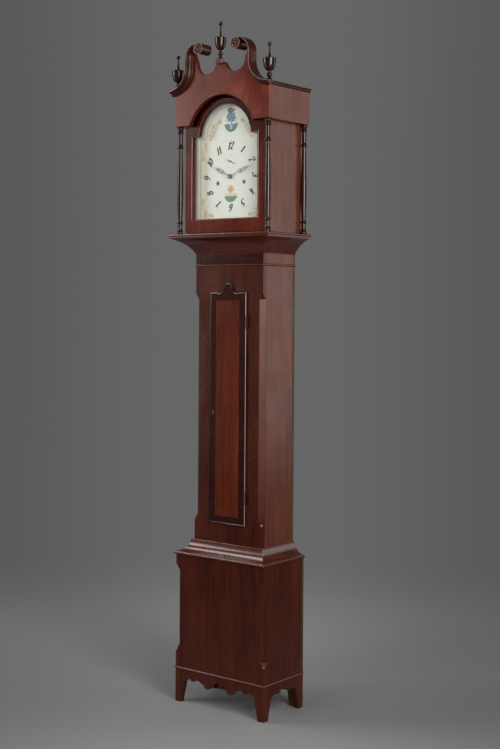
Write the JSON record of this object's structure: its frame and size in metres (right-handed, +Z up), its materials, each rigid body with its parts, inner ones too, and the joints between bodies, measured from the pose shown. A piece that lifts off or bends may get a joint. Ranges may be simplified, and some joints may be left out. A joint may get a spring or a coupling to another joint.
{
  "type": "grandfather clock",
  "caption": "Tall case clock with a scrolled hood on columns, arched painted dial, shaped waist door, pendulum, weights and a time and strike movement.",
  "frame": {"origin": "on the floor, under the middle of the case's box", "axes": "+Z up, +Y to the back, the dial and the doors face -Y, +X to the viewer's right"},
  "size_m": [0.475, 0.276, 2.493],
  "materials": {
    "mahogany": "polished, warm red brown",
    "dark_mahogany": "polished, dark red brown",
    "pine": "unfinished, aged",
    "painted_iron": "off white japanned enamel",
    "painted_board": "off white paint",
    "brass": "aged, satin",
    "steel": "blued and polished",
    "cast_iron": "rough, dark",
    "glass": "clear",
    "gut": "twisted gut line"
  },
  "bodies": {
    "case": {"base_front_panel": "mahogany", "base_sides": "mahogany", "base_bottom": "pine", "backboards": "pine", "front_skirt": "mahogany", "side_skirts": "mahogany", "base_mouldings": "mahogany", "waist_stiles": "mahogany", "waist_rails": "mahogany", "waist_sides": "mahogany", "waist_top_mouldings": "mahogany", "seat_board": "pine", "waist_hinge_leaves": "brass", "movement_plates": "brass", "plate_pillars": "brass", "dial": "painted_iron", "back_cock": "brass", "bell": "brass", "seat_bolts": "steel", "going_gut": "gut", "strike_gut": "gut"},
    "hood": {"hood_base_frame": "mahogany", "hood_sides": "mahogany", "hood_columns": "dark_mahogany", "scroll_board": "mahogany", "hood_top": "mahogany", "cornice_mouldings": "mahogany", "rosettes": "dark_mahogany", "finials": "dark_mahogany", "dial_mask": "painted_board"},
    "hood_door": {"hood_door_frame": "mahogany", "hood_door_glass": "glass", "hood_door_pivots": "brass"},
    "waist_door": {"waist_door": "mahogany", "waist_door_lip": "dark_mahogany", "door_hinge_leaves": "brass", "door_lock": "brass"},
    "lock_bolt": {"lock_bolt": "steel"},
    "minute_arbor": {"centre_wheel": "brass", "minute_hand": "steel"},
    "hour_pipe": {"hour_wheel": "brass", "hour_hand": "steel"},
    "minute_wheel": {"minute_wheel": "brass"},
    "third_arbor": {"third_wheel": "brass"},
    "escape_arbor": {"escape_wheel": "brass", "seconds_hand": "steel"},
    "going_great_wheel": {"going_great_wheel": "brass"},
    "going_barrel": {"going_barrel": "brass"},
    "strike_barrel": {"strike_barrel": "brass"},
    "going_weight": {"going_weight": "cast_iron"},
    "strike_weight": {"strike_weight": "cast_iron"},
    "anchor": {"anchor": "steel"},
    "pendulum": {"pendulum_rod": "steel", "pendulum_bob": "brass"},
    "rating_nut": {"rating_nut": "brass"},
    "strike_great_wheel": {"strike_great_wheel": "brass"},
    "pin_wheel": {"pin_wheel": "brass"},
    "gathering_wheel": {"gathering_wheel": "brass"},
    "fly": {"fly": "brass"},
    "hammer": {"hammer": "steel"}
  },
  "joints": [
    {"name": "hood_slide", "type": "slide", "parent": "case", "child": "hood", "axis": [0, -1, 0], "range_m": [0, 0.28]},
    {"name": "hood_door_swing", "type": "hinge", "parent": "hood", "child": "hood_door", "pos_m": [0.182, -0.082, 1.93], "axis": [0, 0, 1], "range_deg": [0, 100]},
    {"name": "waist_door_swing", "type": "hinge", "parent": "case", "child": "waist_door", "pos_m": [0.0884, -0.0585, 1.09], "axis": [0, 0, 1], "range_deg": [0, 110]},
    {"name": "lock_bolt_throw", "type": "slide", "parent": "waist_door", "child": "lock_bolt", "axis": [-1, 0, 0], "range_m": [0, 0.01]},
    {"name": "hands_turn", "type": "hinge", "parent": "case", "child": "minute_arbor", "pos_m": [0, 0.025, 1.939], "axis": [0, 1, 0], "continuous": true},
    {"name": "hour_pipe_turn", "type": "hinge", "parent": "case", "child": "hour_pipe", "pos_m": [0, 0.025, 1.939], "axis": [0, 1, 0], "continuous": true},
    {"name": "minute_wheel_turn", "type": "hinge", "parent": "case", "child": "minute_wheel", "pos_m": [0.0162, 0.025, 1.91094], "axis": [0, 1, 0], "continuous": true},
    {"name": "third_wheel_turn", "type": "hinge", "parent": "case", "child": "third_arbor", "pos_m": [0.01275, 0.025, 1.96868], "axis": [0, 1, 0], "continuous": true},
    {"name": "seconds_turn", "type": "hinge", "parent": "case", "child": "escape_arbor", "pos_m": [0, 0.025, 1.994], "axis": [0, 1, 0], "continuous": true},
    {"name": "going_great_wheel_turn", "type": "hinge", "parent": "case", "child": "going_great_wheel", "pos_m": [0.0613, 0.025, 1.917], "axis": [0, 1, 0], "continuous": true},
    {"name": "going_weight_lift", "type": "slide", "parent": "case", "child": "going_weight", "axis": [0, 0, 1], "range_m": [0, 1.307], "deforming": ["going_gut"]},
    {"name": "going_barrel_wind", "type": "hinge", "parent": "case", "child": "going_barrel", "pos_m": [0.0613, 0.025, 1.917], "axis": [0, 1, 0], "range_deg": [0, 5765]},
    {"name": "strike_weight_lift", "type": "slide", "parent": "case", "child": "strike_weight", "axis": [0, 0, 1], "range_m": [0, 1.307], "deforming": ["strike_gut"]},
    {"name": "strike_barrel_wind", "type": "hinge", "parent": "case", "child": "strike_barrel", "pos_m": [-0.0613, 0.025, 1.917], "axis": [0, 1, 0], "range_deg": [0, 5765]},
    {"name": "pendulum_swing", "type": "hinge", "parent": "case", "child": "pendulum", "pos_m": [0, 0.075, 2.016], "axis": [0, 1, 0], "range_deg": [-2.5, 2.5]},
    {"name": "anchor_rock", "type": "hinge", "parent": "case", "child": "anchor", "pos_m": [0, 0.025, 2.016], "axis": [0, 1, 0], "range_deg": [-2.6, 2.6]},
    {"name": "rating_nut_turn", "type": "hinge", "parent": "pendulum", "child": "rating_nut", "pos_m": [0, 0.075, 0.955], "axis": [0, 0, 1], "range_deg": [-720, 720]},
    {"name": "pin_wheel_turn", "type": "hinge", "parent": "case", "child": "pin_wheel", "pos_m": [-0.04494, 0.025, 1.95207], "axis": [0, 1, 0], "continuous": true},
    {"name": "strike_great_wheel_turn", "type": "hinge", "parent": "case", "child": "strike_great_wheel", "pos_m": [-0.0613, 0.025, 1.917], "axis": [0, 1, 0], "continuous": true},
    {"name": "gathering_wheel_turn", "type": "hinge", "parent": "case", "child": "gathering_wheel", "pos_m": [-0.03994, 0.025, 1.98044], "axis": [0, 1, 0], "continuous": true},
    {"name": "fly_turn", "type": "hinge", "parent": "case", "child": "fly", "pos_m": [-0.04749, 0.025, 2.00116], "axis": [0, 1, 0], "continuous": true},
    {"name": "hammer_lift", "type": "hinge", "parent": "case", "child": "hammer", "pos_m": [-0.066, 0.025, 1.987], "axis": [0, -1, 0], "range_deg": [0, 14], "stiffness_Nm_per_rad": 0.05}
  ],
  "couplings": [
    {"joint": "hour_pipe_turn", "follows": "hands_turn", "ratio": 0.083333},
    {"joint": "minute_wheel_turn", "follows": "hands_turn", "ratio": -1},
    {"joint": "third_wheel_turn", "follows": "hands_turn", "ratio": -7.5},
    {"joint": "seconds_turn", "follows": "hands_turn", "ratio": 60},
    {"joint": "going_great_wheel_turn", "follows": "hands_turn", "ratio": -0.083333},
    {"joint": "going_barrel_wind", "follows": "going_weight_lift", "rad_per_m": 76.923},
    {"joint": "strike_barrel_wind", "follows": "strike_weight_lift", "rad_per_m": 76.923},
    {"joint": "anchor_rock", "follows": "pendulum_swing", "ratio": 1},
    {"joint": "strike_great_wheel_turn", "follows": "pin_wheel_turn", "ratio": -0.10256},
    {"joint": "gathering_wheel_turn", "follows": "pin_wheel_turn", "ratio": -8},
    {"joint": "fly_turn", "follows": "pin_wheel_turn", "ratio": 64}
  ]
}
